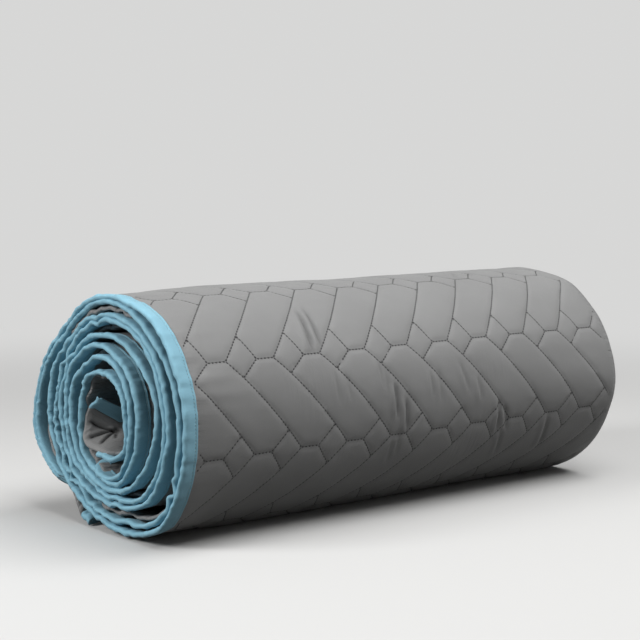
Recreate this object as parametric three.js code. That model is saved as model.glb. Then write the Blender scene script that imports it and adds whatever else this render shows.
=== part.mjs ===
// A quilted coverlet, folded in four along its length and rolled up.
//
// The cloth is one strip of four layers, wound from the core out. Seen from the bound end, at low
// X, it winds clockwise, and its free end lies on the surface, below the +Y side. In each turn the
// layers are, from outside in: A1, B1, B2, A2. The two bound long edges, of A1 and B1, are at the
// low X end. B2 and A2 meet there in a fold. At the high X end A1 folds over into A2, around the
// fold from B1 to B2.
//
// Millimetres and degrees. The roll lies along X and rests on Z = 0. The origin is under its middle.
import * as THREE from "three";

const ROLL_LENGTH = 600; // a quarter of the coverlet's width of 2400
const AXIS_HEIGHT = 118; // the winding centre above the surface
const AXIS_SIDE = -1.34; // the winding centre's Y, which centres the outline over the origin

const LAYER = 2; // thickness of the quilted cloth
const FOLD_NOSE = 1.2; // the outside of a fold starts to curve this far from its tip
const FOLD_SLACK = 0.8; // between the two folds at the high X end, one in the other
const BINDING_WIDTH = 16; // on each face of the cloth
const BINDING_WALL = 0.7;
const BINDING_CLEAR = 0.3; // between the binding and the cloth in it

// The layers lie this far in from the strip's outer face, to the middle of each layer.
const DEPTH = { A1: 1, B1: 3.4, B2: 6.8, A2: 9.2 };

// Winding angles run from the +Y side over the top, and on inwards by 360 for each turn.
const STEP = 18;
const FREE_END_INNER = -69; // B2 and A2, the longer pair, end here
const FREE_END_OUTER = -37; // A1 and B1 end here at the bound end
const FREE_END_LEVEL = 110; // from this X on, A1 and B1 end where B2 and A2 do
const CORE_END = 1530;

// The binding at each end of the strip covers an angle, and a gap parts it from the cloth.
const FREE_BINDING = { arc: 7.5, gap: 0.2 };
const CORE_BINDING = { arc: 36, gap: 0.8 };

// Radii of the wound strip. A row is a turn, from the outside in, and a column is the direction.
// OUTER_EDGE and INNER_EDGE are the two bound edges at the bound end, to the middle of the cloth.
// BODY is the strip's outer face along the rest of the roll.
const FIRST_COLUMN = -75;
const COLUMN_STEP = 30;
const OUTER_EDGE = [
  // 285  315    345    15     45     75     105    135    165    195    225    255
  131.0, 121.5, 142.0, 126.5, 109.0, 112.0, 117.0, 128.5, 135.5, 136.5, 132.0, 113.0,
  105.5, 107.0, 110.5, 106.0, 94.0, 95.0, 98.5, 105.0, 107.5, 107.5, 104.5, 91.0,
  87.5, 89.0, 86.5, 84.0, 80.0, 77.0, 77.5, 80.5, 88.5, 86.0, 80.5, 77.0,
  75.0, 73.5, 68.5, 66.5, 57.5, 56.0, 53.0, 48.0, 46.0, 46.0, 53.0, 61.0,
  59.0, 50.0, 43.0, 36.0, 31.0, 27.0, 24.0, 22.0,
];
const INNER_EDGE = [
  // 285  315    345    15     45     75     105    135    165    195    225    255
  126.0, 116.5, 137.0, 121.0, 104.0, 107.0, 111.5, 115.5, 124.0, 127.0, 126.0, 103.0,
  99.5, 97.0, 99.0, 91.0, 87.0, 88.0, 93.0, 100.0, 102.0, 102.5, 98.0, 84.5,
  82.0, 82.0, 77.5, 77.0, 72.5, 68.0, 60.5, 58.5, 57.5, 58.5, 62.5, 69.0,
  69.0, 62.5, 50.5, 47.0, 47.0, 40.0, 38.5, 38.0, 37.5, 38.5, 46.0, 43.5,
  41.0, 36.0, 33.0, 29.0, 24.5, 20.5, 17.5, 15.5,
];
const BODY = [
  // 285  315    345    15     45     75     105    135    165    195    225    255
  132.0, 127.0, 137.0, 133.5, 122.0, 117.5, 119.5, 127.5, 135.5, 136.5, 129.5, 124.0,
  116.0, 109.5, 114.0, 110.0, 101.0, 98.5, 100.5, 106.5, 111.5, 112.0, 107.0, 98.0,
  94.0, 91.5, 92.0, 88.0, 82.0, 79.5, 80.0, 85.0, 89.0, 88.5, 84.0, 78.0,
  75.5, 73.5, 71.5, 68.0, 63.0, 60.0, 60.0, 62.0, 64.5, 64.5, 62.0, 58.0,
  55.5, 51.0, 47.0, 43.0, 39.0, 35.0, 31.0, 28.0,
];

// Along X the strip passes from the radii of the bound end to those of the body.
const BLEND_X = [0, 50, 110];
const BLEND = [0, 0.45, 1];

// How far the edges lie in from the bound end, by winding angle.
const EDGE_RECESS = [
  { angle: -75, depth: 0 },
  { angle: 1290, depth: 0 },
  { angle: 1425, depth: 30 },
  { angle: 1560, depth: 30 },
];
const FOLD_RECESS = [
  { angle: -75, depth: 2 },
  { angle: -45, depth: 3 },
  { angle: 15, depth: 19 },
  { angle: 1320, depth: 19 },
  { angle: 1425, depth: 31 },
  { angle: 1560, depth: 31 },
];

// At the bound end the fold from B2 to A2 lies half way from the inner edge to the next turn's outer
// edge, within these distances from the inner edge. In the innermost turn it lies at the last one.
const FOLD_ROOM = { least: 3.5, most: 8, last: 6.5 };

const HALF = LAYER / 2;
const EDGE_HALF = HALF + BINDING_CLEAR + BINDING_WALL;
const FOLD_SPREAD = (DEPTH.A2 - DEPTH.B2) / 2;
const radians = THREE.MathUtils.degToRad;

// A smooth curve through a table's radii.
function radiusAt(table, angle) {
  const column = (angle - FIRST_COLUMN) / COLUMN_STEP;
  const i = Math.min(Math.max(Math.floor(column), 0), table.length - 2);
  const t = column - i;
  const before = table[Math.max(i - 1, 0)];
  const from = table[i];
  const to = table[i + 1];
  const after = table[Math.min(i + 2, table.length - 1)];
  const slope = (to - before) / 2;
  const nextSlope = (after - from) / 2;
  const rise = to - from;
  return from + t * (slope + t * (3 * rise - 2 * slope - nextSlope + t * (slope + nextSlope - 2 * rise)));
}

// Straight lines between a table's rows.
function depthAt(rows, angle) {
  const next = Math.max(rows.findIndex((row) => row.angle >= angle), 1);
  const a = rows[next - 1];
  const b = rows[next];
  return THREE.MathUtils.mapLinear(angle, a.angle, b.angle, a.depth, b.depth);
}

function blendAt(x) {
  const i = x < BLEND_X[1] ? 0 : 1;
  const blend = THREE.MathUtils.mapLinear(x, BLEND_X[i], BLEND_X[i + 1], BLEND[i], BLEND[i + 1]);
  return Math.min(blend, 1);
}

// The surface that the roll lies on flattens whatever would reach below it.
function aboveSurface(radius, angle, margin) {
  const down = -Math.sin(radians(angle));
  return down > 0.2 ? Math.min(radius, (AXIS_HEIGHT - margin) / down) : radius;
}

// The radius of the middle of each layer at the bound end.
const nearRadius = {
  A1: outerEdge,
  B1: innerEdge,
  B2: (angle) => nearFold(angle) + FOLD_SPREAD,
  A2: (angle) => nearFold(angle) - FOLD_SPREAD,
};

function outerEdge(angle) {
  return aboveSurface(radiusAt(OUTER_EDGE, angle), angle, EDGE_HALF);
}

function innerEdge(angle) {
  return aboveSurface(radiusAt(INNER_EDGE, angle), angle, EDGE_HALF);
}

function nearFold(angle) {
  const edge = innerEdge(angle);
  const hasNext = angle + 360 <= CORE_END;
  const room = hasNext ? (edge - outerEdge(angle + 360)) / 2 : FOLD_ROOM.last;
  return edge - THREE.MathUtils.clamp(room, FOLD_ROOM.least, FOLD_ROOM.most);
}

// The radius of the middle of a layer at one place along the roll.
function layerRadius(layer, angle, x) {
  const body = aboveSurface(radiusAt(BODY, angle), angle, 0) - DEPTH[layer];
  return THREE.MathUtils.lerp(nearRadius[layer](angle), body, blendAt(x));
}

// A section is a ladder: rungs across the cloth, in order along it, each with a left and a right
// point { x, layer, side }. side is the distance out from the middle of the layer.
function point(x, layer, side) {
  return { x, layer, side };
}

// Rungs along one layer. Its left face is its outer one where the strip runs away from the bound end.
function run(layer, stops) {
  const left = stops[0] < stops.at(-1) ? HALF : -HALF;
  return stops.map((x) => ({ left: point(x, layer, left), right: point(x, layer, -left) }));
}

// Four rungs around a fold, from one layer into another, with its tip towards one end of the roll.
// On the inside of the fold each layer has one point, which two rungs share.
function fold(from, into, tip, towards) {
  const side = DEPTH[from] < DEPTH[into] ? HALF : -HALF;
  const start = tip - towards * FOLD_NOSE;
  const inside = tip - towards * LAYER;
  const near = point(inside, from, -side);
  const far = point(inside, into, side);
  const rungs = [
    { outer: point(start, from, side), inner: near },
    { outer: point(tip, from, -side), inner: near },
    { outer: point(tip, into, side), inner: far },
    { outer: point(start, into, -side), inner: far },
  ];
  const outerIsLeft = side === towards * HALF;
  return rungs.map(({ outer, inner }) =>
    outerIsLeft ? { left: outer, right: inner } : { left: inner, right: outer },
  );
}

function stripSection(angle) {
  const edgeTip = depthAt(EDGE_RECESS, angle);
  const edge = edgeTip + BINDING_WALL + BINDING_CLEAR;
  const back = edgeTip + BINDING_WIDTH;
  const [, middle, end] = BLEND_X;
  return [
    ...run("A1", [edge, back, middle, end]),
    ...fold("A1", "A2", ROLL_LENGTH, 1),
    ...run("A2", [end, middle]),
    ...fold("A2", "B2", depthAt(FOLD_RECESS, angle), -1),
    ...run("B2", [middle, end]),
    ...fold("B2", "B1", ROLL_LENGTH - LAYER - FOLD_SLACK, 1),
    ...run("B1", [end, middle, back, edge]),
  ];
}

// A binding's section: a channel of folded tape around one bound edge.
function bindingSection(layer) {
  return (angle) => {
    const tip = depthAt(EDGE_RECESS, angle);
    const slot = tip + BINDING_WALL;
    const back = tip + BINDING_WIDTH;
    const inside = HALF + BINDING_CLEAR;
    const rung = (outer, inner, sign) => ({
      left: point(inner, layer, sign * inside),
      right: point(outer, layer, sign * EDGE_HALF),
    });
    return [rung(back, back, 1), rung(tip, slot, 1), rung(tip, slot, -1), rung(back, back, -1)];
  };
}

// At the bound end the free end of A1 and B1 falls short of that of B2 and A2. Their stations catch
// up by angle 0, and along the roll the two ends come level.
function stationAngle(layer, x, angle) {
  if (angle >= 0 || layer.endsWith("2")) return angle;
  const late = (angle * FREE_END_OUTER) / FREE_END_INNER;
  const left = 1 - Math.min(x / FREE_END_LEVEL, 1);
  return THREE.MathUtils.lerp(angle, late, left ** 3);
}

function place({ x, layer, side }, angle) {
  const at = stationAngle(layer, x, angle);
  const radius = layerRadius(layer, at, x) + side;
  return new THREE.Vector3(
    x - ROLL_LENGTH / 2,
    AXIS_SIDE + radius * Math.cos(radians(at)),
    AXIS_HEIGHT + radius * Math.sin(radians(at)),
  );
}

// The points around a section: up its left side and back down its right. A point that several
// rungs share is taken once.
function outlineOf(rungs) {
  const lefts = rungs.map((rung) => rung.left);
  const rights = rungs.map((rung) => rung.right).reverse();
  return [...new Set([...lefts, ...rights])];
}

// A closed solid: the section placed at each station, joined by walls, with a cap at both ends.
function windSolid(section, stations) {
  const sections = stations.map((angle) => section(angle));
  const outlines = sections.map(outlineOf);
  const size = outlines[0].length;
  const vertices = stations.flatMap((angle, i) => outlines[i].map((each) => place(each, angle)));
  const faces = [];
  for (let i = 0; i + 1 < stations.length; i++) {
    for (let j = 0; j < size; j++) {
      const next = (j + 1) % size;
      const [a, b] = [i * size + j, i * size + next];
      const [c, d] = [a + size, b + size];
      // The same diagonal is used whichever way the outline runs, so that nested walls stay nested.
      const rising = outlines[i][j].x < outlines[i][next].x;
      faces.push(...(rising ? [a, c, d, a, d, b] : [a, c, b, b, c, d]));
    }
  }
  const cap = capFaces(sections[0], outlines[0]);
  const last = (stations.length - 1) * size;
  for (const [a, b, c] of cap) faces.push(a, b, c, last + a, last + c, last + b);
  const geometry = new THREE.BufferGeometry().setFromPoints(vertices);
  geometry.setIndex(faces);
  geometry.computeVertexNormals();
  return geometry;
}

// Triangles between the rungs of a section.
function capFaces(rungs, outline) {
  const faces = [];
  for (let k = 0; k + 1 < rungs.length; k++) {
    const [left, nextLeft] = [rungs[k].left, rungs[k + 1].left].map((each) => outline.indexOf(each));
    const [right, nextRight] = [rungs[k].right, rungs[k + 1].right].map((each) => outline.indexOf(each));
    if (left !== nextLeft) faces.push([left, nextLeft, right]);
    if (right !== nextRight) faces.push([nextLeft, nextRight, right]);
  }
  return faces;
}

// Stations every STEP from one of the given angles to the next. Those angles are stations too.
function stationsThrough(...ends) {
  const stations = [ends[0]];
  for (let i = 0; i + 1 < ends.length; i++) {
    for (let angle = Math.ceil(ends[i] / STEP) * STEP; angle < ends[i + 1]; angle += STEP) {
      if (angle - ends[i] > STEP / 5 && ends[i + 1] - angle > STEP / 5) stations.push(angle);
    }
    stations.push(ends[i + 1]);
  }
  return stations;
}

const quiltedCloth = new THREE.MeshStandardMaterial({ color: 0x77757a, roughness: 0.75, metalness: 0 });
const bindingCloth = new THREE.MeshStandardMaterial({ color: 0x84b3c6, roughness: 0.8, metalness: 0 });

function piece(name, section, stations, material) {
  const mesh = new THREE.Mesh(windSolid(section, stations), material);
  mesh.name = name;
  return mesh;
}

const clothFrom = FREE_END_INNER + FREE_BINDING.arc;
const clothTo = CORE_END - CORE_BINDING.arc;
const clothStations = stationsThrough(clothFrom, clothTo);
const edgeStations = stationsThrough(FREE_END_INNER, clothFrom, clothTo, CORE_END);
const freeStations = stationsThrough(FREE_END_INNER, clothFrom - FREE_BINDING.gap);
const coreStations = stationsThrough(clothTo + CORE_BINDING.gap, CORE_END);

const coverlet = new THREE.Group();
coverlet.add(
  piece("quilted_panel", stripSection, clothStations, quiltedCloth),
  piece("binding_outer_edge", bindingSection("A1"), edgeStations, bindingCloth),
  piece("binding_inner_edge", bindingSection("B1"), edgeStations, bindingCloth),
  piece("binding_free_end", stripSection, freeStations, bindingCloth),
  piece("binding_core_end", stripSection, coreStations, bindingCloth),
);

export default coverlet;
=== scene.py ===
"""A rolled quilted coverlet: the quilted panel, its welded seams, and the binding with its stitching.

Lengths are in millimetres until a mesh is made. x runs along the roll from the bound end, and
winding angles, in degrees, run from the +Y side over the top and on inwards by 360 for each turn.
"""
import math

import bpy
import numpy as np
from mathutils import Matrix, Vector


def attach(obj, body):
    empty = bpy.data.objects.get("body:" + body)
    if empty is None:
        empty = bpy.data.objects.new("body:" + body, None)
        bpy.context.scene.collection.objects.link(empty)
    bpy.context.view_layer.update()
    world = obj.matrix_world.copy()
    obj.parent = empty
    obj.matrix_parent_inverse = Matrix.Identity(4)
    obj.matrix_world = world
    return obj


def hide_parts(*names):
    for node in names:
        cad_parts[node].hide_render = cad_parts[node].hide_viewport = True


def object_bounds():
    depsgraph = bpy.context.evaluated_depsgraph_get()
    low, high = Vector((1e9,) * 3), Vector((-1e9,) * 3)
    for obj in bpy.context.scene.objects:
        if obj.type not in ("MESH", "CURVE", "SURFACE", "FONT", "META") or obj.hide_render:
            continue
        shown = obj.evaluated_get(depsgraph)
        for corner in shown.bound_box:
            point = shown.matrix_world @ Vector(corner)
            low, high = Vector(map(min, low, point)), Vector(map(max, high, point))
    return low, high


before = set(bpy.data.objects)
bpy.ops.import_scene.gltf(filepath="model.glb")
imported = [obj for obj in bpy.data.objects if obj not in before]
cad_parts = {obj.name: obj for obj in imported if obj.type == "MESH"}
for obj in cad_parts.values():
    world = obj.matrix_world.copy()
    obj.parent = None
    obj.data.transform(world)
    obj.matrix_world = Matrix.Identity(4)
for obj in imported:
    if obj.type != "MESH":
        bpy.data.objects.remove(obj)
cad_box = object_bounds()

MM = 0.001

# ---- Camera ----------------------------------------------------------
CAMERA_PLACE = (-1.085, -1.2965, 0.357)
CAMERA_AIM = (0.629, 0.771, -0.0978)
CAMERA_LENS = 87.9
CAMERA_SENSOR = 36.0


def add_camera():
    data = bpy.data.cameras.new("view")
    data.lens = CAMERA_LENS
    data.sensor_width = CAMERA_SENSOR
    camera = bpy.data.objects.new("view", data)
    camera.location = CAMERA_PLACE
    camera.rotation_euler = Vector(CAMERA_AIM).to_track_quat("-Z", "Y").to_euler()
    bpy.context.scene.collection.objects.link(camera)
    bpy.context.scene.camera = camera


add_camera()

# ---- Curves and waves ------------------------------------------------
NOISE_GRID = 128
# Uneven waves along the cloth: their rise and length, and their own row and seed in the noise.
WAVES = {
    #                rise length row seed
    "edge, wide":   (0.66, 34.0, 0, 0),
    "edge, tight":  (1.40, 8.0, 3, 0),
    "zigzag":       (5.00, 5.5, 9, 13),
    "fold":         (1.50, 9.0, 7, 21),
    "fold's lie":   (2.50, 13.0, 5, 22),
    "fold's face":  (0.90, 6.0, 0, 23),
    "loose turns":  (1.60, 45.0, 5, 36),
    "far, wide":    (1.50, 70.0, 2, 34),
    "far, tight":   (0.80, 19.0, 3, 35),
    "tip, wide":    (0.60, 17.0, 1, 0),
    "tip, tight":   (0.70, 5.0, 2, 0),
    "tape pucker":  (1.00, 3.8, 0, 1),
    "tape swell":   (1.00, 10.0, 0, 2),
}
# The same over the cloth's face, with one length along the roll and one around it.
DENTS = {
    #                rise  along  around seed
    "slow sag":     (1.30, 150.0, 130.0, 31),
    "quick sag":    (0.60, 60.0, 55.0, 32),
    "seam pucker":  (0.25, 7.0, 7.0, 41),
    "soft cloth":   (0.22, 24.0, 16.0, 42),
}


def smooth(t):
    t = np.clip(t, 0.0, 1.0)
    return t * t * (3 - 2 * t)


def ramp(value, start, end):
    """A smooth change from 0 at the start to 1 at the end."""
    return smooth((value - start) / (end - start))


def band(value, start, full, fading, end):
    """1 from full to fading, and 0 before the start and after the end."""
    return ramp(value, start, full) * (1 - ramp(value, fading, end))


def from_least(least, share):
    """A share of 0 to 1, squeezed into the range from the least to 1."""
    return least + (1 - least) * share


def bell(value, middle, width, power=2):
    """1 at the middle, and near 0 beyond the width on either side."""
    return np.exp(-(np.abs((value - middle) / width) ** power))


def soft_noise(u, v, seed):
    """Smooth noise from -1 to 1, with one bump or so per unit of u and of v."""
    grid = np.random.default_rng(seed).uniform(-1, 1, (NOISE_GRID, NOISE_GRID))
    u, v = np.broadcast_arrays(np.asarray(u, float), np.asarray(v, float))
    i, j = np.floor(u).astype(int), np.floor(v).astype(int)
    s, t = smooth(u - i), smooth(v - j)
    i0, i1, j0, j1 = (k % NOISE_GRID for k in (i, i + 1, j, j + 1))
    low = grid[i0, j0] * (1 - s) + grid[i1, j0] * s
    high = grid[i0, j1] * (1 - s) + grid[i1, j1] * s
    return low * (1 - t) + high * t


def waves(name, run, over=0.0, seed=0):
    """Waves of one kind at a length along the cloth, read over from their own row and seed."""
    rise, length, row, own_seed = WAVES[name]
    return rise * soft_noise(run / length, row + over, own_seed + seed)


def dents(name, x, run):
    rise, along, around, seed = DENTS[name]
    return rise * soft_noise(x / along, run / around, seed)


# ---- The wound form, as the CAD model has it -------------------------
ROLL_LENGTH = (cad_box[1][0] - cad_box[0][0]) / MM
AXIS_HEIGHT = 118.0
AXIS_SIDE = -1.34

# Depth from the strip's outer face to the middle of each layer of cloth.
DEPTH = {"A1": 1.0, "B1": 3.4, "B2": 6.8, "A2": 9.2, "nose": 8.0}
HALF = 1.0  # half the cloth's thickness
EDGE_HALF = 0.45  # the same where the binding presses it thin
# The strip begins at these winding angles: its inner layers, and at the bound end its outer ones, which
# come level with them at this distance along the roll.
FREE_END_INNER = -69.0
FREE_END_OUTER = -37.0
FREE_END_LEVEL = 110.0
# The cloth shows from here to there, between the tapes across the strip's ends.
CLOTH_FROM = -61.5
CLOTH_TO = 1446.0
CORE_END = 1480.0
# At the core the strip's end is cut askew, and its outer layers end before its inner ones.
CORE_SKEW = {"x": (0, 5, 36, 90, 220), "angle": (0, 0, -41, -38, 45)}
CORE_SKEW_FROM = 1335.0
CORE_LAG = {"A1": 42.0, "B1": 40.0, "B2": 9.0, "nose": 4.5, "A2": 0.0}
CORE_LAG_X = (90.0, 220.0)
# Behind its mouth the core narrows, and widens again.
CORE_FUNNEL = 12.0
CORE_FUNNEL_ANGLE = (1345.0, 1385.0)
CORE_FUNNEL_X = (0.0, 36.0, 70.0, 200.0)

# Radii by turn, from the outside in. The columns are directions, 30 degrees apart from 285 on.
FIRST_COLUMN = -75.0
COLUMN_STEP = 30.0
OUTER_EDGE = (
    # 285  315    345    15     45     75     105    135    165    195    225    255
    122.0, 118.0, 142.0, 126.5, 109.0, 112.0, 117.0, 128.5, 135.5, 136.5, 134.5, 115.5,
    105.5, 107.0, 110.5, 106.0, 94.0, 95.0, 98.5, 105.0, 107.5, 107.5, 104.5, 91.0,
    87.5, 89.0, 86.5, 84.0, 80.0, 77.0, 77.5, 80.5, 88.5, 86.0, 80.5, 77.0,
    73.5, 71.5, 68.5, 66.5, 57.5, 56.0, 53.0, 47.0, 44.5, 45.0, 53.0, 63.5,
    62.5, 58.5, 48.0, 44.5, 40.0, 35.0,
)
INNER_EDGE = (
    # 285  315    345    15     45     75     105    135    165    195    225    255
    118.0, 114.0, 137.0, 121.0, 104.0, 107.0, 111.5, 115.5, 124.0, 127.0, 127.0, 104.5,
    99.5, 97.0, 99.0, 91.0, 87.0, 88.0, 93.0, 100.0, 102.0, 102.5, 98.0, 84.5,
    78.5, 80.0, 77.5, 77.0, 72.5, 68.0, 60.5, 58.5, 57.5, 58.5, 62.5, 69.0,
    63.5, 61.5, 50.5, 47.0, 47.0, 40.0, 37.5, 36.0, 35.0, 36.5, 45.5, 44.5,
    44.5, 52.0, 50.0, 44.0, 36.0, 29.0,
)
BODY = (
    # 285  315    345    15     45     75     105    135    165    195    225    255
    132.0, 127.0, 137.0, 133.5, 122.0, 117.5, 119.5, 127.5, 135.5, 136.5, 129.5, 124.0,
    116.0, 109.5, 114.0, 110.0, 101.0, 98.5, 100.5, 106.5, 111.5, 112.0, 107.0, 98.0,
    94.0, 91.5, 92.0, 88.0, 82.0, 79.5, 80.0, 85.0, 89.0, 88.5, 84.0, 78.0,
    75.5, 73.5, 71.5, 68.0, 63.0, 60.0, 60.0, 62.0, 64.5, 64.5, 62.0, 58.0,
    57.5, 55.0, 49.5, 44.0, 38.5, 34.0,
)
BLEND_END = 110.0  # the bound end's own form runs out into the body by this x
# The fold from B2 to A2 at the bound end, in the last turn, where the edges lie behind it.
CORE_FOLD = {
    "angle": (1350, 1362, 1380, 1394, 1403, 1409, 1426, 1449, 1465, 1490),
    "radius": (36.0, 38.5, 43.5, 48.0, 49.0, 48.0, 41.0, 31.0, 26.5, 22.5),
}
CORE_FOLD_FROM = (1345.0, 1380.0)
# How far back from the roll's end the edges and the folds lie, by winding angle.
OUTER_RECESS = {"angle": (-75, 1372, 1388, 1402, 1415, 1440), "depth": (0, 0, 4, 13, 28, 60)}
INNER_RECESS = {"angle": (-75, 1380, 1390, 1403, 1420), "depth": (0, 0, 8, 30, 60)}
FOLD_RECESS = {
    "angle": (-75, -45, 15, 35, 50, 108, 125, 222, 236, 275,
              292, 930, 965, 1185, 1215, 1335, 1365, 1398, 1420, 1500),
    "depth": (2, 3, 17, 15, 5, 5, 16, 16, 8, 7,
              17, 17, 8, 8, 15, 17, 3, 3, 5, 5),
}
FOLD_RECESS_WAVES = (0.0, 60.0)  # the waves in it grow between these winding angles
FOLD_ROOM = (3.5, 8.0)  # the fold lies at least and at most this far inside the inner edge
FOLD_SPREAD = (DEPTH["A2"] - DEPTH["B2"]) / 2
LOOSE_FOLD = (940.0, 980.0, 1190.0, 1230.0)  # here its crinkles are twice as high
# At the free end the fold's corner turns out to the floor, reaches further around, and is thicker.
FREE_CORNER_RISE = 7.0
FREE_CORNER_SPREAD = 0.8
FREE_CORNER_REACH = 4.5
FREE_CORNER = {"rise": (-53.0, -65.0), "spread": (-57.0, -65.0), "reach": (-40.0, -64.0)}
# At the far end the strip is thicker at its folds, which lie back a little, and its turns are loose.
# Each sets in over its own stretch of x, as the roll's sag does behind the bound end.
FAR_PLUMP = 0.32
FAR_PLUMP_X = (520.0, 580.0)
FAR_RECESS = 1.5
FAR_RECESS_X = (480.0, 590.0)
LOOSE_TURNS_X = (380.0, 580.0)
SAG_X = (30.0, 120.0)

# Buckles in the bound edges, where the roll squeezes them: a rise in radius at an angle.
OUTER_BUCKLES = {
    "angle": (430, 441, 720, 729, 737, 754, 765, 1012),
    "width": (5, 4, 5, 4, 5, 5, 4, 6),
    "rise": (1.6, -1.2, 2.4, 1.0, -2.2, 3.0, -1.5, -1.0),
}
INNER_BUCKLES = {
    "angle": (199, 203, 207, 211, 216, 262, 385, 392, 434, 441, 451, 1044, 1058, 1066),
    "width": (2, 2, 2.5, 2, 3, 5, 4, 4, 4, 3, 4, 6, 6, 5),
    "rise": (2.2, -1.8, 5.5, -2.5, 2.0, 2.4, 2.6, -3.0, 2.2, -2.6, 1.5, 1.8, 2.0, -1.5),
}
SQUEEZED_AT = -20.0  # the direction in which the edges are pressed together most
EDGE_SEEDS = {"outer": 11, "inner": 12}
TIGHT_LEAST = 0.35  # what is left of the tight waves where nothing squeezes the edge
TIGHT_FULL_AT = 60.0  # they grow to their full size from 0 to this winding angle
CROWDED = (318.0, 30.0)  # the middle and the width of the stretch where the inner edge zigzags
# How far above the floor each part of the strip stays, at the least.
CLEAR = {"outer edge": 4.0, "inner edge": 6.0, "cloth": 0.3}
DOWNWARD = 0.2  # a direction whose sine is this far below 0 meets the floor
# Lengths along the strip are measured between these winding angles, in steps of so many degrees.
MEASURED_FROM, MEASURED_TO = -90.0, 1560.0
MEASURED_STEP = 0.25


def radius_at(table, angle):
    """A smooth curve through a table's radii."""
    table = np.asarray(table)
    column = (np.asarray(angle, float) - FIRST_COLUMN) / COLUMN_STEP
    i = np.clip(np.floor(column).astype(int), 0, len(table) - 2)
    t = column - i
    before, start = table[np.maximum(i - 1, 0)], table[i]
    end, after = table[i + 1], table[np.minimum(i + 2, len(table) - 1)]
    slope, next_slope, rise = (end - before) / 2, (after - start) / 2, end - start
    square = 3 * rise - 2 * slope - next_slope
    cube = slope + next_slope - 2 * rise
    return start + t * (slope + t * (square + t * cube))


def above_surface(radius, angle, margin):
    """The surface that the roll lies on flattens whatever would reach below it."""
    down = -np.sin(np.radians(angle))
    limit = (AXIS_HEIGHT - margin) / np.maximum(down, DOWNWARD)
    return np.where(down > DOWNWARD, np.minimum(radius, limit), radius)


def measured_lengths():
    """Winding angles, and the length along the strip's outer face to each of them from 0."""
    angles = np.arange(MEASURED_FROM, MEASURED_TO, MEASURED_STEP)
    radii = above_surface(radius_at(BODY, angles), angles, 0.0)
    steps = np.hypot(np.diff(radii), radii[:-1] * np.radians(MEASURED_STEP))
    lengths = np.concatenate([[0.0], np.cumsum(steps)])
    return angles, lengths - np.interp(0.0, angles, lengths)


MEASURED_ANGLES, MEASURED_LENGTHS = measured_lengths()


def length_at(angle):
    return np.interp(angle, MEASURED_ANGLES, MEASURED_LENGTHS)


def angle_at(length):
    return np.interp(length, MEASURED_LENGTHS, MEASURED_ANGLES)


def squeezed(angle):
    """From 0 to 1, how much a direction is on the side where the edges are pressed together."""
    return smooth(0.5 + 0.6 * np.cos(np.radians(np.asarray(angle) - SQUEEZED_AT)))


def buckles(rows, angle):
    total = np.zeros_like(np.asarray(angle, float))
    for at, width, rise in zip(rows["angle"], rows["width"], rows["rise"]):
        total += rise * bell(angle, at, width)
    return total


def edge_waves(angle, seed):
    """Small waves along a bound edge, sharper where it is squeezed."""
    run = length_at(angle)
    tight = waves("edge, tight", run, seed=seed) * from_least(TIGHT_LEAST, squeezed(angle))
    return waves("edge, wide", run, seed=seed) + tight * np.clip(angle / TIGHT_FULL_AT, 0, 1)


def outer_edge(angle):
    plain = radius_at(OUTER_EDGE, angle) + buckles(OUTER_BUCKLES, angle)
    return above_surface(plain + edge_waves(angle, EDGE_SEEDS["outer"]), angle, CLEAR["outer edge"])


def inner_edge(angle):
    zigzag = waves("zigzag", length_at(angle)) * bell(angle, *CROWDED, power=4)
    plain = radius_at(INNER_EDGE, angle) + buckles(INNER_BUCKLES, angle)
    waved = plain + edge_waves(angle, EDGE_SEEDS["inner"]) + zigzag
    return above_surface(waved, angle, CLEAR["inner edge"])


def near_fold(angle):
    """The radius of the fold, which lies in the room from the inner edge to the next turn's outer one."""
    edge, beyond = inner_edge(angle), outer_edge(angle + 360)
    room = np.clip((edge - beyond) / 2, *FOLD_ROOM)
    crinkle = (1 + band(angle, *LOOSE_FOLD)) * waves("fold", length_at(angle))
    lifted = FREE_CORNER_RISE * ramp(angle, *FREE_CORNER["rise"])
    core = np.interp(angle, CORE_FOLD["angle"], CORE_FOLD["radius"])
    in_core = ramp(angle, *CORE_FOLD_FROM)
    return (edge - room + crinkle + lifted) * (1 - in_core) + core * in_core


def fold_spread(angle):
    """Half the distance from B2 to A2 at their fold."""
    return FOLD_SPREAD + FREE_CORNER_SPREAD * ramp(angle, *FREE_CORNER["spread"])


NEAR_RADIUS = {
    "A1": outer_edge,
    "B1": inner_edge,
    "B2": lambda angle: near_fold(angle) + fold_spread(angle),
    "A2": lambda angle: near_fold(angle) - fold_spread(angle),
    "nose": near_fold,
}


def station_angle(layer, x, angle):
    """The winding angle that a layer has reached at a station, as its own ends shift it.

    At the bound end the free end of A1 and B1 falls short of that of B2 and A2.
    """
    inward = ramp(angle, CORE_SKEW_FROM, CORE_END)
    lag = CORE_LAG[layer] * (1 - ramp(x, *CORE_LAG_X))
    skewed = angle + inward * (np.interp(x, CORE_SKEW["x"], CORE_SKEW["angle"]) - lag)
    left = (1 - np.clip(x / FREE_END_LEVEL, 0, 1)) ** 3
    if layer not in ("A1", "B1"):
        return skewed - FREE_CORNER_REACH * left * ramp(angle, *FREE_CORNER["reach"])
    late = angle * FREE_END_OUTER / FREE_END_INNER
    return np.where(angle < 0, angle + (late - angle) * left, skewed)


def sag(x, angle):
    """The roll's own unevenness along its length, with looser turns at the far end."""
    run = length_at(angle)
    slow = dents("slow sag", x, run) + dents("quick sag", x, run)
    return slow * ramp(x, *SAG_X) + waves("loose turns", run) * ramp(x, *LOOSE_TURNS_X)


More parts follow.
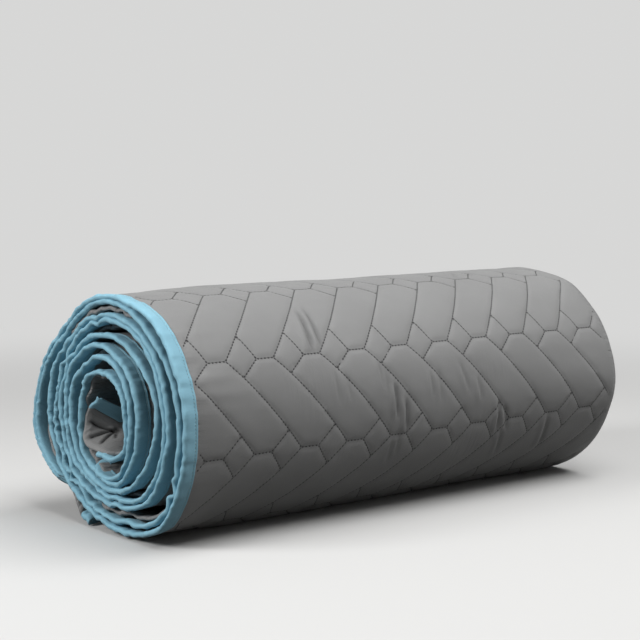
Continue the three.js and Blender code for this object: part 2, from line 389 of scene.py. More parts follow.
def far_recess(angle):
    """How far in from the roll's far end its folds lie."""
    run = length_at(angle)
    return np.maximum(FAR_RECESS + waves("far, wide", run) + waves("far, tight", run), 0.0)


def place_at(layer, at, x, side):
    """The point at a distance out from the middle of a layer, in metres in the frame."""
    near = NEAR_RADIUS[layer](at)
    body = radius_at(BODY, at) - DEPTH[layer] + sag(x, at)
    radius = near + (body - near) * ramp(x, 0, BLEND_END) + side
    funnel = CORE_FUNNEL * ramp(at, *CORE_FUNNEL_ANGLE) * band(x, *CORE_FUNNEL_X)
    plump = FAR_PLUMP * (DEPTH[layer] - side) * ramp(x, *FAR_PLUMP_X)
    radius = above_surface(radius - funnel - plump, at, CLEAR["cloth"])
    turn = np.radians(at)
    along = x - ROLL_LENGTH / 2 - far_recess(at) * ramp(x, *FAR_RECESS_X)
    point = (along, AXIS_SIDE + radius * np.cos(turn), AXIS_HEIGHT + radius * np.sin(turn))
    return np.stack(np.broadcast_arrays(*point), -1) * MM


def place(layer, angle, x, side):
    """As place_at, for a station's winding angle, which the layer's own end shifts."""
    return place_at(layer, station_angle(layer, x, angle), x, side)


# ---- Quilting: welded seams, laid out flat ---------------------------
REPEAT_X = 57.0
REPEAT_RUN = 190.5
REPEAT_LOW = -92.0
ROW_ANGLE = 154.2  # a row of seam corners that point to the bound end lies here
ROW_X = 3.2
TWIST = 0.034  # the rows drift along the roll by this much of the way around it
# In one repeat: corner a to corner b, across and up from a corner of that row.
SEAMS = (
    ((0.0, 0.0), (83.8, 98.5)),
    ((0.0, 0.0), (83.8, -92.0)),
    ((36.3, 0.0), (57.0, 0.0)),
    ((23.1, 27.2), (36.3, 0.0)),
    ((16.0, -17.6), (36.3, 0.0)),
    ((47.5, -92.0), (65.6, -72.0)),
    ((47.5, -92.0), (65.1, -114.0)),
    ((83.8, -92.0), (104.5, -92.0)),
)


def to_pattern(x, run):
    """A place on the cloth as a place in the repeat's own layout."""
    up = length_at(ROW_ANGLE) - run
    return x - TWIST * up - ROW_X, up


def from_pattern(across, up):
    return across + TWIST * up + ROW_X, length_at(ROW_ANGLE) - up


def nearest_seam(x, run):
    """The distance to the nearest seam, the nearest point on it, and how straight it runs.

    A seam that runs along the roll or around it has 1, and one halfway between these has 0.7.
    """
    across, up = to_pattern(x, run)
    column, row = np.floor(across / REPEAT_X), np.floor((up - REPEAT_LOW) / REPEAT_RUN)
    u, v = across - column * REPEAT_X, up - row * REPEAT_RUN
    best = np.full(u.shape, np.inf)
    near_u, near_v, straight = np.zeros_like(u), np.zeros_like(v), np.zeros_like(u)
    for (au, av), (bu, bv) in SEAMS:
        du, dv = bu - au, bv - av
        seam_straight = max(abs(du), abs(dv)) / math.hypot(du, dv)
        for column_shift in (-2, -1, 0, 1):
            for row_shift in (-1, 0, 1):
                su, sv = au + column_shift * REPEAT_X, av + row_shift * REPEAT_RUN
                t = np.clip(((u - su) * du + (v - sv) * dv) / (du * du + dv * dv), 0, 1)
                pu, pv = su + t * du, sv + t * dv
                distance = np.hypot(u - pu, v - pv)
                closer = distance < best
                best = np.where(closer, distance, best)
                near_u, near_v = np.where(closer, pu, near_u), np.where(closer, pv, near_v)
                straight = np.where(closer, seam_straight, straight)
    near_x, near_run = from_pattern(near_u + column * REPEAT_X, near_v + row * REPEAT_RUN)
    return best, near_x, near_run, straight


# Creases in the outer turn: each from (x, up) to (x, up), measured up from the row at ROW_ANGLE.
CREASES = (
    # from            to              width  depth
    ((175, 60), (165, -5), 2.9, 2.5),
    ((184, 62), (178, -1), 2.7, 2.0),
    ((258, -34), (261, -80), 2.6, 3.0),
    ((271, -50), (276, -96), 2.8, 2.8),
    ((184, -16), (187, -58), 2.6, 0.8),
    ((198, -24), (201, -56), 2.6, 0.7),
    ((264, -88), (269, -120), 2.2, 1.0),
    ((258, -94), (260, -128), 2.4, 1.1),
    ((242, -8), (245, -52), 2.6, 1.0),
    ((250, -20), (250, -56), 2.6, 0.9),
    ((309, -26), (310, -62), 2.6, 1.0),
    ((320, -24), (321, -68), 2.6, 1.0),
    ((351, -20), (363, -62), 2.6, 1.1),
    ((374, -36), (381, -72), 2.6, 1.2),
    ((406, -66), (412, -116), 2.6, 2.4),
    ((413, -70), (427, -112), 2.6, 2.0),
    ((414, -90), (428, -146), 2.6, 1.7),
    ((487, -88), (497, -150), 3.2, 2.0),
    ((190, 150), (215, 118), 3.0, 0.9),
    ((455, 130), (432, 96), 3.0, 0.9),
    ((120, 212), (104, 170), 3.0, 1.0),
    ((350, 240), (366, 196), 3.0, 1.2),
    ((505, 262), (482, 226), 3.0, 1.1),
    ((238, 330), (262, 300), 3.0, 1.1),
)
CREASE_BOW = 0.04
CREASE_TAPER = 0.35  # the share of a crease's length in which it sets in, at each end
CREASE_RIDGE = {"rise": 0.7, "away": 1.9, "width": 1.2}  # beside the valley, in its depth and widths
# A crease's painted shade: the depth at which it would be fully dark, and the darkest it gets.
CREASE_SHADE = 5.0  # the depth at which a crease would be fully dark
CREASE_DARKEST = 0.45

WELD_DEPTH = 0.7
WELD_REACH = 1.6
PUFF = 0.55
PUFF_REACH = 6.0
PUCKER_REACH = 9.0
RELIEF_X = (14.0, 26.0, ROLL_LENGTH - 11, ROLL_LENGTH - 7)


def crease_height(x, run):
    up = length_at(ROW_ANGLE) - run
    total = np.zeros_like(x)
    for (ax, aup), (bx, bup), width, depth in CREASES:
        dx, dup = bx - ax, bup - aup
        long = math.hypot(dx, dup)
        along = ((x - ax) * dx + (up - aup) * dup) / long
        across = ((x - ax) * dup - (up - aup) * dx) / long
        across += CREASE_BOW * (along - long / 2) ** 2 / long
        taper = CREASE_TAPER * long
        ends = smooth(along / taper) * smooth((long - along) / taper)
        ridge = bell(across, CREASE_RIDGE["away"] * width, CREASE_RIDGE["width"] * width)
        total += depth * ends * (CREASE_RIDGE["rise"] * ridge - bell(across, 0, width))
    return total


def relief(x, run, distance):
    """How far the outer face stands out from the plain winding, at a distance from the nearest seam."""
    puff = PUFF * (1 - np.exp(-distance / PUFF_REACH)) - WELD_DEPTH * np.exp(-distance / WELD_REACH)
    pucker = dents("seam pucker", x, run) * np.exp(-distance / PUCKER_REACH)
    height = puff + pucker + dents("soft cloth", x, run) + crease_height(x, run)
    return height * band(x, *RELIEF_X)


# ---- Meshes ----------------------------------------------------------
def make_object(name, vertices, faces, material, attributes, uv):
    """An object from points and faces, with the cloth's own map. Points that no face uses are left out."""
    mesh = bpy.data.meshes.new(name)
    used = np.zeros(len(vertices), bool)
    used[[v for face in faces for v in face]] = True
    number = np.cumsum(used) - 1
    faces = [[int(number[v]) for v in face] for face in faces]
    mesh.from_pydata(vertices[used].tolist(), [], faces)
    mesh.polygons.foreach_set("use_smooth", [True] * len(mesh.polygons))
    for key, values in attributes.items():
        attribute = mesh.attributes.new(key, "FLOAT", "POINT")
        attribute.data.foreach_set("value", values[used].astype(np.float32))
    corner = np.zeros(len(mesh.loops), np.int64)
    mesh.loops.foreach_get("vertex_index", corner)
    layer = mesh.uv_layers.new(name="cloth")
    layer.data.foreach_set("uv", uv[used].astype(np.float32)[corner].ravel())
    mesh.materials.append(material)
    mesh.validate()
    mesh.update()
    return add_object(name, mesh)


def add_object(name, data):
    obj = bpy.data.objects.new(name, data)
    bpy.context.scene.collection.objects.link(obj)
    return obj


FAR_CENTRE = ROLL_LENGTH - (DEPTH["A2"] - DEPTH["A1"]) / 2 - HALF
PRESSED_X = (15.0, 22.0)
FOLD_TURNS = np.linspace(0, math.pi, 7)[1:-1]  # the directions of the points around a fold
FOLD_INSIDE = 0.1  # the smallest radius on a fold's inner side


def edge_half(x, half=HALF):
    """Half the cloth's thickness: it is pressed thin where the binding holds it."""
    return half - (HALF - EDGE_HALF) * (1 - ramp(x, *PRESSED_X))


class Section:
    """The strip's section: rungs across the cloth, in order along it, each with a left and a right point.

    A point is (x, layer, side, anchor). The anchor says whether its x moves with the recess of the
    outer edge, of the inner edge or of the near fold, or not at all.
    """

    def __init__(self, half):
        self.half = half
        self.rungs = []

    def run(self, layer, stops, anchor):
        outwards = 1 if stops[0] < stops[-1] else -1
        for x in stops:
            half = outwards * (self.half if anchor == "fold" else edge_half(x, self.half))
            self.rungs.append(((x, layer, half, anchor), (x, layer, -half, anchor)))

    def far_fold(self, layer, into, outer_is_left):
        """Rungs around a fold at the far end, from a layer into another."""
        middle = (DEPTH[layer] + DEPTH[into]) / 2
        bend = abs(DEPTH[layer] - DEPTH[into]) / 2
        start = math.copysign(1, middle - DEPTH[layer])
        for turn in FOLD_TURNS:
            points = []
            for reach in (bend + self.half, bend - self.half):
                x = FAR_CENTRE + reach * math.sin(turn)
                depth = middle - start * reach * math.cos(turn)
                points.append((x, layer, DEPTH[layer] - depth, "none"))
            self.rungs.append(tuple(points) if outer_is_left else tuple(points[::-1]))

    def near_fold(self):
        """Rungs around the fold from A2 to B2 at the bound end, with its tip at x = 0."""
        tip = FOLD_SPREAD + self.half
        for turn in FOLD_TURNS:
            points = []
            for reach in (tip, max(FOLD_SPREAD - self.half, FOLD_INSIDE)):
                points.append((tip - reach * math.sin(turn), "nose", -reach * math.cos(turn), "fold"))
            self.rungs.append(tuple(points))

    def outline(self):
        return [rung[0] for rung in self.rungs] + [rung[1] for rung in reversed(self.rungs)]


def recess_at(anchor, angles):
    """How far back the outer edge, the inner edge or the near fold lies."""
    if anchor == "none":
        return 0 * angles
    rows = {"outer": OUTER_RECESS, "inner": INNER_RECESS, "fold": FOLD_RECESS}[anchor]
    recess = np.interp(angles, rows["angle"], rows["depth"])
    if anchor == "fold":
        recess = recess + waves("fold's lie", length_at(angles)) * ramp(angles, *FOLD_RECESS_WAVES)
    return recess


def drawn_in(x, recess):
    """An edge or fold that lies back draws in the cloth behind it, less and less along the roll."""
    return x + recess * (1 - ramp(x, 0, BLEND_END))


# Deep creases in the innermost flap, which fan out from a point where the cloth is drawn together:
# each leaves that point at a slope from straight out, and bends.
FAN_X = 32.0
FAN_ANGLE = 1398.0
FAN_RADIUS = 40.0
FAN_ROOM = 7.0  # the layers behind stand off by this much where the flap is drawn in
FAN_ROOM_REACH = 24.0
FAN_ENDS = (3.0, 0.3)  # a crease sets in over this length, and fades over this share of its own
FAN_POINTED = 1.5  # a bell's usual power, 2, would make the creases too round at the bottom
FAN_RISE = {"share": 0.3, "width": 2.6}  # the cloth beside a crease bulges by this much of its depth
FAN_MIDDLE = {"depth": 2.5, "reach": 3.5}
FAN = (
    # slope  length bend   width  depth
    (36.0, 34.0, -0.12, 1.5, 3.6),
    (2.0, 31.0, 0.22, 1.5, 4.0),
    (-27.0, 27.0, 0.20, 1.5, 3.8),
    (-60.0, 16.0, 0.10, 1.3, 2.8),
)
FLAP_ANGLE = (1350.0, 1370.0)


def fan_creases(x, angle):
    """How far into the flap's creases a place on it is, from 0 to 1, how deep they are there, and how
    far the layers behind stand off."""
    out = FAN_X - x
    up = (angle - FAN_ANGLE) * math.radians(FAN_RADIUS)
    inside, depth_there = 0.0 * out, 0.0 * out
    for slope, length, bend, width, depth in FAN:
        turn = math.radians(slope)
        along = out * math.cos(turn) + up * math.sin(turn)
        across = up * math.cos(turn) - out * math.sin(turn)
        across -= bend * along * (length - along) / length
        ends = smooth(along / FAN_ENDS[0]) * smooth((length - along) / (FAN_ENDS[1] * length))
        groove = bell(across, 0, width, power=FAN_POINTED) * ends
        inside = np.maximum(inside, groove)
        beside = FAN_RISE["share"] * ends * bell(across, 0, FAN_RISE["width"] * width)
        depth_there += depth * (groove - beside)
    away = np.hypot(out, up)
    middle = bell(away, 0, FAN_MIDDLE["reach"])
    room = FAN_ROOM * bell(away, 0, FAN_ROOM_REACH)
    return np.maximum(inside, middle), depth_there + FAN_MIDDLE["depth"] * middle, room


# Behind an edge or a fold the cloth is gathered, less and less over these stretches of x, and it is
# gathered again at the far folds. In the innermost flap it is drawn smoother, by these shares.
GATHERED_X = {"outer": (16.0, 46.0), "inner": (16.0, 46.0), "fold": (30.0, 60.0), "none": (30.0, 60.0)}
FAR_GATHERED = 0.6
FAR_GATHERED_X = (560.0, 594.0)
FLAP_SMOOTHED = {"gather": 0.6, "crinkle": 0.7}
CRINKLE_WIDTH = 15.0
CRINKLE_X = (10.0, 70.0)


def outline_grid(outline, angles):
    """For each station and point of the outline: its x, its place in metres, the painted shade in its
    creases, and how gathered the cloth is there, from 0 to 1."""
    columns = []
    recess = {anchor: recess_at(anchor, angles) for anchor in GATHERED_X}
    run = length_at(angles)
    for x, layer, side, anchor in outline:
        along = drawn_in(x, recess[anchor])
        at = station_angle(layer, along, angles)
        if layer == "nose":
            side = side * (fold_spread(at) + HALF) / (FOLD_SPREAD + HALF)
        in_flap = ramp(at, *FLAP_ANGLE)
        inside, depth, room = fan_creases(along, at)
        shift = (depth if layer == "A2" else room) * in_flap
        if anchor == "fold":
            crinkle = waves("fold's face", run, over=x / CRINKLE_WIDTH) * (1 - ramp(x, *CRINKLE_X))
            shift = shift + crinkle * (1 - FLAP_SMOOTHED["crinkle"] * in_flap)
        # The flap's creases get painted shade, darkest deep in them.
        painted_crease_shade = inside * in_flap * (layer == "A2")
        gather = 1 - ramp(x, *GATHERED_X[anchor]) + FAR_GATHERED * ramp(x, *FAR_GATHERED_X)
        gather = gather * (1 - FLAP_SMOOTHED["gather"] * in_flap)
        columns.append((along, place(layer, angles, along, side + shift), painted_crease_shade, gather))
    return [np.stack(values, 1) for values in zip(*columns)]


# ---- Quilted panel ---------------------------------------------------
# The outer face of the outer turn is finely divided, in x and from CLOTH_FROM to under the free end.
FINE_FROM, FINE_TO = 16.0, 591.0
FINE_COLUMNS = 190
FINE_STEP = 1.3
FINE_X = np.linspace(FINE_FROM, FINE_TO, FINE_COLUMNS + 1)
TURN_ROWS = 141
FINE_ROWS = 2 * TURN_ROWS
# The strip's other rows of points lie this far apart, in its body and in its innermost flap.
BODY_STEP = 7.5
FLAP_STEP = 1.5
FLAP_FROM = 1335.0
# Where the section has its points: in A1 at the binding, and at these columns of the fine face.
LIP_STOPS = (4.0, 13.0)
COARSE_COLUMNS = (0, 5, 12, 22, 42, 80, 120, 160, 180, 190)
A1_STOPS = (*LIP_STOPS, *FINE_X[list(COARSE_COLUMNS)])
EDGE_STOPS = (4, 15, 18, 22, 34, 56, 100, 300)
FOLD_STOPS = (4.5, 11, 20, 34, 56, 100, 300)
# A2 is finely divided in the innermost flap, and has these stops before it.
A2_STOPS = (4.5, 10.9, 20.5, 34.9, 58, 105, 300)
FLAP_STOPS = sorted({round(x, 1) for x in (*A2_STOPS, *np.arange(4.5, 46, 1.6), 50, 76)})

FIRST_FINE = len(LIP_STOPS)
LAST_FINE = FIRST_FINE + len(COARSE_COLUMNS) - 1
FAR_FROM_SEAMS = 50.0
LIP_GATHERED = 0.12
LIP_GATHERED_X = (16.0, 40.0)


def strip_section(a1_stops, half):
    """The four layers of the strip, from the outer bound edge to the inner one."""
    section = Section(half)
    section.run("A1", a1_stops, "outer")
    section.far_fold("A1", "A2", True)
    section.run("A2", (*FLAP_STOPS, FINE_TO)[::-1], "fold")
    section.near_fold()
    section.run("B2", (*FOLD_STOPS, FINE_TO), "fold")
    section.far_fold("B2", "B1", False)
    section.run("B1", (*EDGE_STOPS, FINE_TO)[::-1], "inner")
    return section


def body_rungs(section):
    """The rungs that the strip has everywhere, without those of A2 that only the flap has."""
    kept = []
    for k, rung in enumerate(section.rungs):
        x, layer = rung[0][:2]
        if layer != "A2" or x in (*A2_STOPS, FINE_TO):
            kept.append(k)
    return kept


def panel_stations():
    """The winding angles of the strip's rows of points, and the number of the flap's first row."""
    outer_turn = CLOTH_FROM + 2 * FINE_STEP * np.arange(TURN_ROWS + 1)
    rows = [outer_turn]
    for start, end, step in ((outer_turn[-1], FLAP_FROM, BODY_STEP), (FLAP_FROM, CLOTH_TO, FLAP_STEP)):
        low, high = length_at(start), length_at(end)
        rows.append(angle_at(np.linspace(low, high, int((high - low) / step) + 1)[1:]))
    return np.concatenate(rows), len(rows[0]) + len(rows[1]) - 1


def fine_face():
    """The points of the finely divided face: places, x, run, distance to a seam, and which lie on one.

    Those near a seam are moved onto it, so that the mesh has edges there.
    """
    rows = CLOTH_FROM + FINE_STEP * np.arange(FINE_ROWS + 1)
    angle, x = np.meshgrid(rows, FINE_X, indexing="ij")
    run = length_at(station_angle("A1", x, angle))
    distance, seam_x, seam_run, straight = nearest_seam(x, run)
    inner = np.zeros(x.shape, bool)
    inner[2:-2, 2:-2] = True
    on_seam = inner & (distance < (FINE_X[1] - FINE_X[0]) / 2 * straight)
    turned = np.where(on_seam, angle + angle_at(seam_run) - angle_at(run), angle)
    distance = np.where(on_seam, 0.0, distance)
    x = np.where(on_seam, seam_x, x)
    run = np.where(on_seam, seam_run, run)
    places = place("A1", turned, x, edge_half(x) + relief(x, run, distance))
    return places, x, run, distance, on_seam


def fine_numbers(coarse):
    """Numbers for the fine face's points, the strip's own around its border, and which ones are new."""
    fine = np.full((FINE_ROWS + 1, FINE_COLUMNS + 1), -1, np.int64)
    fine[0::2, 0] = coarse[: TURN_ROWS + 1, FIRST_FINE]
    fine[0::2, -1] = coarse[: TURN_ROWS + 1, LAST_FINE]
    for j, q in enumerate(COARSE_COLUMNS, FIRST_FINE):
        fine[0, q] = coarse[0, j]
        fine[-1, q] = coarse[TURN_ROWS, j]
    new = fine < 0
    fine[new] = coarse.size + np.arange(new.sum())
    return fine, new


def fine_between(fine_row, j):
    """A fine row's points between the coarse column j and the next one."""
    low, high = COARSE_COLUMNS[j - FIRST_FINE], COARSE_COLUMNS[j - FIRST_FINE + 1]
    return list(fine_row[low + 1: high])


def strip_faces(coarse, fine, kept, flap_row):
    """Faces from row to row, which leave out the fine face and join on to its points."""
    faces = []
    for i in range(len(coarse) - 1):
        columns = range(coarse.shape[1]) if i >= flap_row else kept
        for j, k in zip(columns, (*columns[1:], columns[0])):
            face = [coarse[i, j], coarse[i + 1, j], coarse[i + 1, k], coarse[i, k]]
            beside_fine = FIRST_FINE <= j < LAST_FINE
            if i == flap_row - 1:
                face[2:2] = coarse[i + 1, j + 1: k]
            if i < TURN_ROWS and beside_fine:
                continue
            if i < TURN_ROWS and j == FIRST_FINE - 1:
                face.insert(3, fine[2 * i + 1, 0])
            elif i < TURN_ROWS and j == LAST_FINE:
                face.insert(1, fine[2 * i + 1, -1])
            elif i == TURN_ROWS and beside_fine:
                face += fine_between(fine[-1], j)[::-1]
            faces.append(face)
    return faces


def fine_faces(fine, on_seam):
    """Triangles of the fine face, with edges along the seams."""
    faces = []
    for p in range(FINE_ROWS):
        for q in range(FINE_COLUMNS):
            a, b, c, d = fine[p, q], fine[p + 1, q], fine[p + 1, q + 1], fine[p, q + 1]
            if on_seam[p, q] and on_seam[p + 1, q + 1]:
                split = True
            elif on_seam[p + 1, q] and on_seam[p, q + 1]:
                split = False
            else:
                split = (p + q) % 2 == 0
            faces += [[a, b, c], [a, c, d]] if split else [[a, b, d], [b, c, d]]
    return faces


def cap_faces(rungs, row, flipped, fine_row=None):
    """Faces that close the strip's end, from rung to rung."""
    faces = []
    across = row[::-1]
    for k, following in zip(rungs[:-1], rungs[1:]):
        face = [row[k], row[following], across[following], across[k]]
        if fine_row is not None and FIRST_FINE <= k < LAST_FINE:
            face[1:1] = fine_between(fine_row, k)
        faces.append(face[::-1] if flipped else face)
    return faces


def make_panel(material):
    section = strip_section(A1_STOPS, HALF)
    every = range(len(section.rungs))
    kept = body_rungs(section)
    stations, flap_row = panel_stations()
    xs, places, painted_crease_shades, gathers = outline_grid(section.outline(), stations)
    coarse = np.arange(xs.size).reshape(xs.shape)
    fine, new = fine_numbers(coarse)
    surface, x, run, distance, on_seam = fine_face()
    surface, x, run, distance = surface[new], x[new], run[new], distance[new]

    faces = strip_faces(coarse, fine, kept + [coarse.shape[1] - 1 - k for k in reversed(kept)], flap_row)
    faces += fine_faces(fine, on_seam)
    faces += cap_faces(kept, coarse[0], False, fine[0])
    faces += cap_faces(every, coarse[-1], True)
    # Painted shade in the outer turn's creases, by their depth.
    painted_fine_crease_shade = np.clip(-crease_height(x, run) / CREASE_SHADE, 0.0, CREASE_DARKEST)
    attributes = {
        "seam": np.append(np.full(xs.size, FAR_FROM_SEAMS), distance),
        "painted_crease_shade": np.append(painted_crease_shades, painted_fine_crease_shade),
        "gather": np.append(gathers, LIP_GATHERED * (1 - ramp(x, *LIP_GATHERED_X))),
    }
    runs = np.broadcast_to(length_at(stations)[:, None], xs.shape)
    uv = np.stack([np.append(xs, x), np.append(runs, run)], -1) * MM
    vertices = np.concatenate([places.reshape(-1, 3), surface])
    return make_object("quilted_cloth", vertices, faces, material, attributes, uv)


# ---- Node trees ------------------------------------------------------
def add_node(tree, kind, inputs=None, **settings):
    """A node with its settings. Each input is given a value, or the socket that feeds it."""
    node = tree.nodes.new(kind)
    for name, value in settings.items():
        setattr(node, name, value)
    for name, given in (inputs or {}).items():
        if isinstance(given, bpy.types.NodeSocket):
            tree.links.new(given, node.inputs[name])
        else:
            node.inputs[name].default_value = given
    return node


# ---- Small marks: the seams' welds and the binding's stitches, by Geometry Nodes ----
MARK_SIZES = ("Length", "Width", "Height", "Raise")
MARK_SEGMENTS = 6
MARK_RINGS = 2
SLOPE_REACH = 0.5  # a surface's direction is measured over this much on each side


def marks_on(at):
    """Marks on a surface: their places, the way each faces, and the way it runs.

    at(along, across, rise) gives their places, moved over and out of the surface by millimetres.
    """
    reach = SLOPE_REACH
    running = at(reach, 0, 0) - at(-reach, 0, 0)
    facing = np.cross(running, at(0, reach, 0) - at(0, -reach, 0))
    outwards = at(0, 0, reach) - at(0, 0, -reach)
    facing = facing * np.sign(np.sum(facing * outwards, axis=1, keepdims=True))
    directions = [d / np.linalg.norm(d, axis=1, keepdims=True) for d in (facing, running)]
    return at(0, 0, 0), *directions


def marks_tree():
    """Geometry nodes that put a small lens on each point, turned by its facing and running directions."""
    tree = bpy.data.node_groups.new("marks_on_points", "GeometryNodeTree")
    sizes = [(name, "Float") for name in MARK_SIZES]
    for name, kind in (("Geometry", "Geometry"), *sizes, ("Material", "Material")):
        tree.interface.new_socket(name, in_out="INPUT", socket_type="NodeSocket" + kind)
    tree.interface.new_socket("Geometry", in_out="OUTPUT", socket_type="NodeSocketGeometry")
    given = add_node(tree, "NodeGroupInput").outputs

    facing, running = (
        add_node(tree, "GeometryNodeInputNamedAttribute", {"Name": name}, data_type="FLOAT_VECTOR")
        for name in ("facing", "running")
    )
    facing = facing.outputs["Attribute"]
    axes = {"Primary Axis": facing, "Secondary Axis": running.outputs["Attribute"]}
    turned = add_node(tree, "FunctionNodeAxesToRotation", axes, primary_axis="Z", secondary_axis="X")
    lift = {0: facing, "Scale": given["Raise"]}
    offset = add_node(tree, "ShaderNodeVectorMath", lift, operation="SCALE")
    raised = add_node(tree, "GeometryNodeSetPosition", {
        "Geometry": given["Geometry"],
        "Offset": offset.outputs["Vector"],
    })
    lens = add_node(tree, "GeometryNodeMeshUVSphere", {
        "Segments": MARK_SEGMENTS,
        "Rings": MARK_RINGS,
        "Radius": 1.0,
    })
    size = add_node(tree, "ShaderNodeCombineXYZ", {
        "X": given["Length"],
        "Y": given["Width"],
        "Z": given["Height"],
    })
    spread = add_node(tree, "GeometryNodeInstanceOnPoints", {
        "Points": raised.outputs["Geometry"],
        "Instance": lens.outputs["Mesh"],
        "Rotation": turned.outputs["Rotation"],
        "Scale": size.outputs["Vector"],
    })
    whole = add_node(tree, "GeometryNodeRealizeInstances", {"Geometry": spread.outputs["Instances"]})
    rounded = add_node(tree, "GeometryNodeSetShadeSmooth", {"Geometry": whole.outputs["Geometry"]})
    finished = add_node(tree, "GeometryNodeSetMaterial", {
        "Geometry": rounded.outputs["Geometry"],
        "Material": given["Material"],
    })
    add_node(tree, "NodeGroupOutput", {"Geometry": finished.outputs["Geometry"]})
    return tree


def make_marks(name, tree, marks, size, material):
    """The plain mesh that the tree makes of marks. The size is in half lengths, in millimetres."""
    places, facing, running = marks
    mesh = bpy.data.meshes.new(name + "_points")
    mesh.from_pydata(places.tolist(), [], [])
    for key, values in (("facing", facing), ("running", running)):
        attribute = mesh.attributes.new(key, "FLOAT_VECTOR", "POINT")
        attribute.data.foreach_set("vector", np.asarray(values, np.float32).ravel())
    obj = add_object(name, mesh)
    modifier = obj.modifiers.new("marks", "NODES")
    modifier.node_group = tree
    for socket in tree.interface.items_tree:
        if socket.in_out == "INPUT" and socket.name in MARK_SIZES:
            modifier[socket.identifier] = size[socket.name] * MM
        elif socket.name == "Material":
            modifier[socket.identifier] = material
    finished = bpy.data.meshes.new_from_object(obj.evaluated_get(bpy.context.evaluated_depsgraph_get()))
    obj.modifiers.clear()
    obj.data = finished
    finished.name = name
    return obj


# ---- Binding ---------------------------------------------------------
TAPE_HALF = 1.4
TAPE_STEP = 2.2
END_TAPE_STEP = 1.6
END_TAPE_GAP = {"free": 0.2, "core": 0.5}  # in degrees, from the cloth that shows to the tape
END_TAPE_STOPS = (*LIP_STOPS, 18.0, 40.0, 80.0, 160.0, 300.0, 450.0, FINE_TO)
# The tape's outer profile, from its back edge over the lip: distance from the tip, and out.
TAPE_OUTSIDE = (
    (16.5, 1.25), (15.6, 1.45), (14.8, 1.35), (14.0, 1.05), (13.2, 1.35), (11.5, 1.75), (8.0, 2.15),
    (5.0, 2.55), (2.8, 2.5), (1.3, 2.0), (0.35, 1.15), (0.0, 0.0),
)
TAPE_INSIDE = ((3.0, 0.45), (16.5, 0.7))
# The tape lies puckered from its tip to its stitches, and its tip is uneven.
TAPE_PLUMP = 1.06
TAPE_SWELL = {"share": 0.22, "over": 30.0}
TAPE_PUCKER = {"share": 0.30, "rise": 0.45, "over": 16.0, "least": 0.45}
PUCKER_X = (-2.0, 4.0)  # the puckers fade towards the tip
OTHER_SIDE = 7.0  # rows of noise between the tape's outer side and its inner one
TIP_BACK = 1.0  # the tip lies back from the section's end by this, give or take its waves
TIP_REACH = 14.0
STITCH_X = 14.0
STITCH_HOLD = (STITCH_X + 0.5, STITCH_X - 4.5)
STITCH_PITCH = 3.4
STITCHED_FROM = FREE_END_INNER + 1
STITCHED_TO = OUTER_RECESS["angle"][2]
STITCH_LEVEL = 1.05  # how far out of the cloth's middle the groove along the stitches lies
STITCH_SIZE = {"Length": 1.25, "Width": 0.42, "Height": 0.375, "Raise": 0.175}
# How wrinkled the tape is: everywhere, where it is squeezed, and in the inner turns.
WRINKLED = {"least": 0.22, "squeezed": 0.7, "inner": 0.3, "end": 0.6}
SQUEEZED_FROM = (-60.0, 0.0)
INNER_TURNS_FROM = (300.0, 360.0)
MAP_STRETCH = 3.0  # in the tape's own map a step out counts as this many along x
OUTER_SEED, INNER_SEED = 51, 61


def tape_profile():
    outer = list(TAPE_OUTSIDE)
    mirrored = [(x, -out) for x, out in outer[-2::-1]]
    inner = [(x, -out) for x, out in TAPE_INSIDE[::-1]] + list(TAPE_INSIDE)
    return outer + mirrored + inner


def tape_point(layer, anchor, angles, x, out, seed):
    """A point of the tape that binds an edge, with the tape's waves and puckers."""
    run = length_at(angles)
    side = OTHER_SIDE if np.mean(out) < 0 else 0.0
    tip = waves("tip, wide", run, seed=seed) + waves("tip, tight", run, seed=seed)
    body = ramp(x, *STITCH_HOLD)
    pucker = waves("tape pucker", run, over=x / TAPE_PUCKER["over"] + side, seed=seed)
    pucker *= from_least(TAPE_PUCKER["least"], squeezed(angles)) * body * ramp(x, *PUCKER_X)
    swell = waves("tape swell", run, over=x / TAPE_SWELL["over"] + side, seed=seed) * body
    back = (tip + TIP_BACK) * smooth(1 - x / TIP_REACH)
    along = np.maximum(drawn_in(x, recess_at(anchor, angles)) + back, 0.0)
    plump = TAPE_PLUMP + TAPE_SWELL["share"] * swell + TAPE_PUCKER["share"] * pucker
    return place(layer, angles, along, out * plump + TAPE_PUCKER["rise"] * pucker)


def tape_wrinkles(angles):
    """From 0 to 1, how wrinkled the tape is: least where it lies smooth around the outside."""
    around = WRINKLED["squeezed"] * squeezed(angles) * ramp(angles, *SQUEEZED_FROM)
    inside = WRINKLED["inner"] * ramp(angles, *INNER_TURNS_FROM)
    return np.clip(WRINKLED["least"] + around + inside, 0, 1)


def sweep(rows):
    """A skin through rows of points, each row a closed outline: the points' numbers, and the faces."""
    count, size = rows.shape[:2]
    index = np.arange(count * size).reshape(count, size)
    faces = []
    for row, next_row in zip(index[:-1], index[1:]):
        for j in range(size):
            k = (j + 1) % size
            faces.append([row[j], next_row[j], next_row[k], row[k]])
    return index, faces


def make_edge_binding(name, layer, anchor, material, seed):
    """The tape around an edge: a section swept along it, from the free end to the core."""
    profile = tape_profile()
    low, high = length_at(FREE_END_INNER), length_at(CORE_END)
    angles = angle_at(np.linspace(low, high, int((high - low) / TAPE_STEP) + 1))
    rows = np.stack([tape_point(layer, anchor, angles, x, out, seed) for x, out in profile], 1)
    index, faces = sweep(rows)
    faces += [index[0], index[-1][::-1]]
    across = np.array([x + MAP_STRETCH * out for x, out in profile])[None, :]
    uv = np.stack(np.broadcast_arrays(across, length_at(angles)[:, None]), -1).reshape(-1, 2) * MM
    wrinkled = {"gather": np.repeat(tape_wrinkles(angles), len(profile))}
    return make_object(name, rows.reshape(-1, 3), faces, material, wrinkled, uv)


